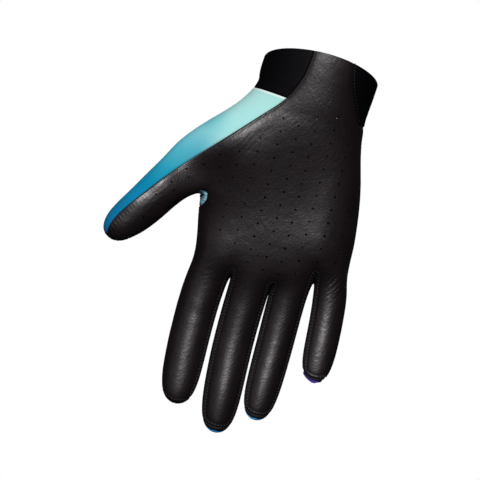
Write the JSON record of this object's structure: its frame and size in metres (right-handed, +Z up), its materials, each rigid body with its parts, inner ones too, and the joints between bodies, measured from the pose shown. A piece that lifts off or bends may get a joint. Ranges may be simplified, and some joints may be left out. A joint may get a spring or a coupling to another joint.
{
  "type": "motocross glove",
  "caption": "Right-hand motocross glove shown filled as worn, with a perforated leather palm, stretch fabric back, black finger sidewalls and a slip-on cuff.",
  "frame": {"origin": "centre of the wrist opening, where the glove is held on the wrist", "axes": "+Z up from the fingertips to the cuff, -Y the palm side, -X the thumb side"},
  "size_m": [0.1557, 0.0502, 0.237],
  "materials": {
    "palm_leather": "soft synthetic leather with fine grain, perforated",
    "back_fabric": "printed stretch knit, mint to blue",
    "cuff_wrap": "satin-faced foam rubber",
    "sidewall_index_middle": "black knit",
    "sidewall_middle_ring": "black knit",
    "sidewall_ring_little": "black knit"
  },
  "bodies": {
    "root": {"palm_leather": "palm_leather", "back_fabric": "back_fabric", "cuff_wrap": "cuff_wrap", "sidewall_index_middle": "sidewall_index_middle", "sidewall_middle_ring": "sidewall_middle_ring", "sidewall_ring_little": "sidewall_ring_little"}
  },
  "joints": []
}
